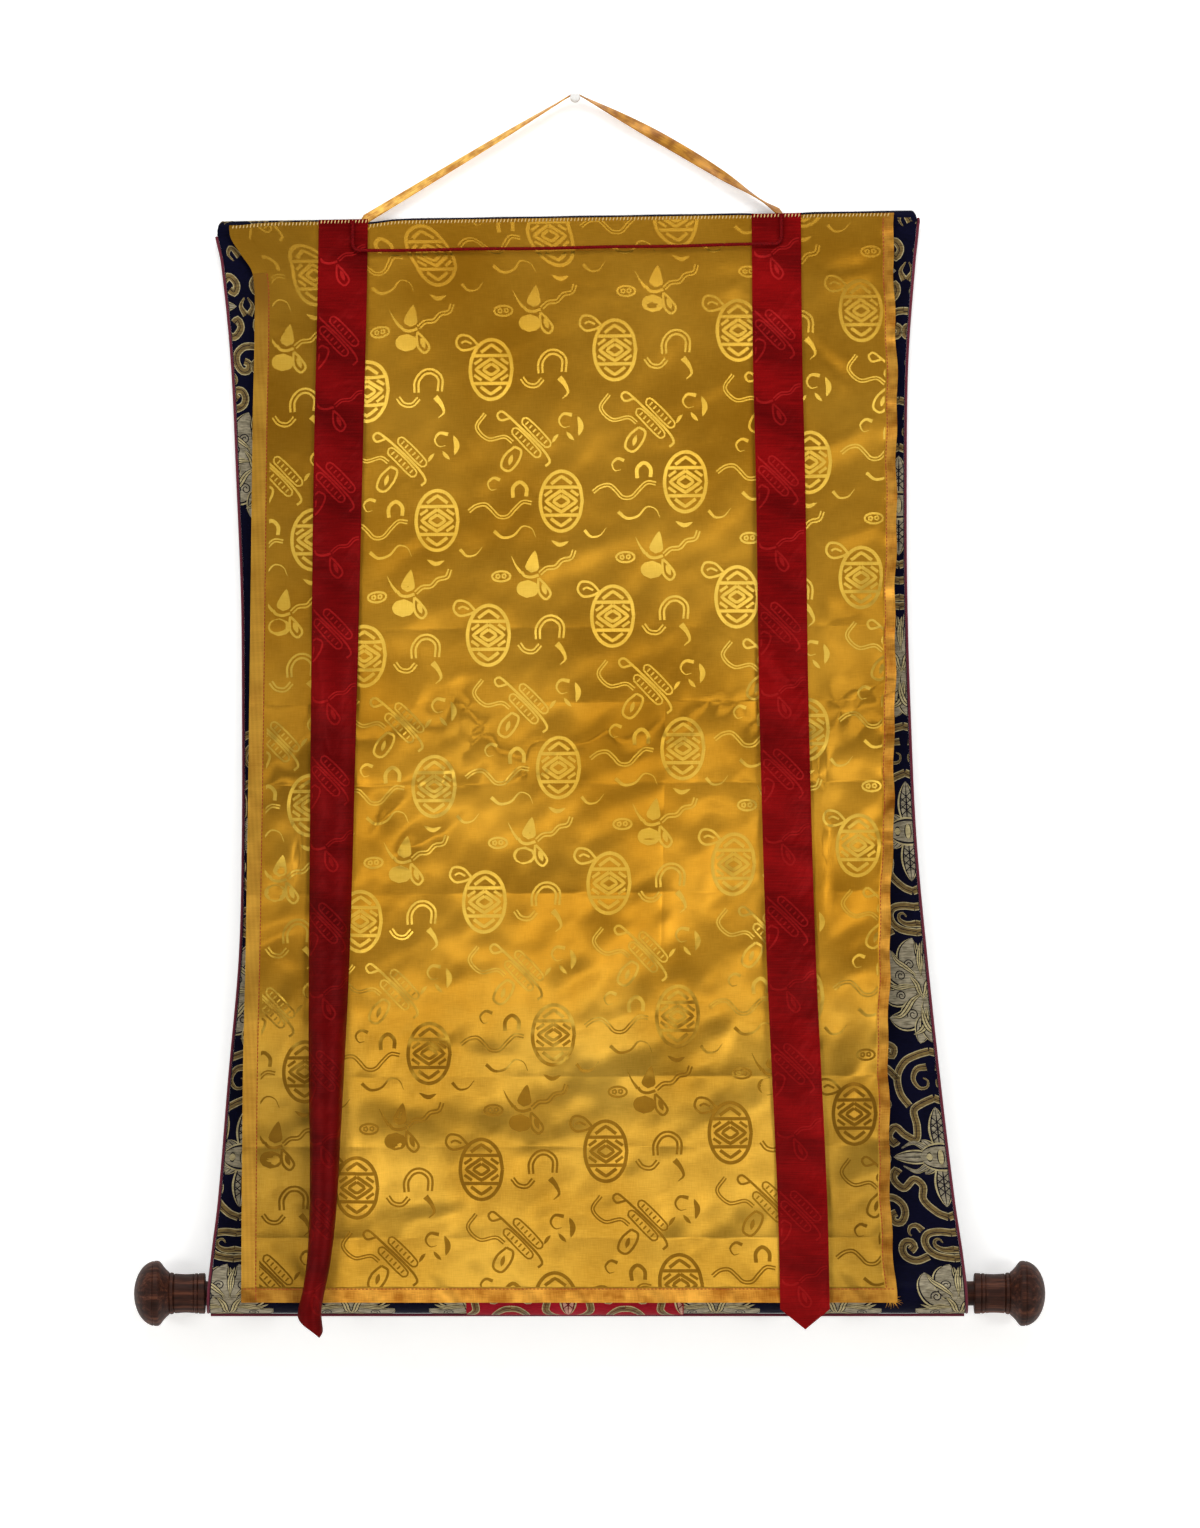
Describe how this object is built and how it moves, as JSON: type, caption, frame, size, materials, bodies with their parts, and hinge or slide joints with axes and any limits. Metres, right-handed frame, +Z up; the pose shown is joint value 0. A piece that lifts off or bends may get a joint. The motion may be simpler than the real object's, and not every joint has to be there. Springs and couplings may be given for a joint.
{
  "type": "hanging scroll painting with silk veil and wall pin",
  "caption": "Brocade-mounted hanging scroll covered by a lowered damask silk veil with hanging ribbons, on a turned-knob dowel and hung by a flat band loop from a plain wall pin.",
  "frame": {"origin": "centre of the wall pin's back face, where it meets the wall", "axes": "+X to the right as seen from the front, +Y into the wall, +Z up"},
  "size_m": [0.8196, 0.0783, 1.1201],
  "materials": {
    "pin": "satin white",
    "loop_silk": "satin band",
    "navy_brocade": "brocade with gold scrollwork",
    "red_brocade": "brocade with gold scrollwork",
    "maroon_piping": "corded piping",
    "rod_wood": "bare turned wood",
    "rosewood": "waxed turned wood",
    "veil_silk": "self-patterned satin damask",
    "ribbon_silk": "self-patterned satin damask",
    "red_cord": "twisted cord"
  },
  "bodies": {
    "root": {"wall_pin": "pin", "hanging_loop": "loop_silk", "mount_brocade": "navy_brocade", "door_panel": "red_brocade", "piping_left": "maroon_piping", "piping_right": "maroon_piping", "piping_foot": "maroon_piping", "dowel": "rod_wood", "knob_left": "rosewood", "knob_right": "rosewood", "veil": "veil_silk", "ribbon_left": "ribbon_silk", "ribbon_right": "ribbon_silk", "veil_cord": "red_cord"}
  },
  "joints": []
}
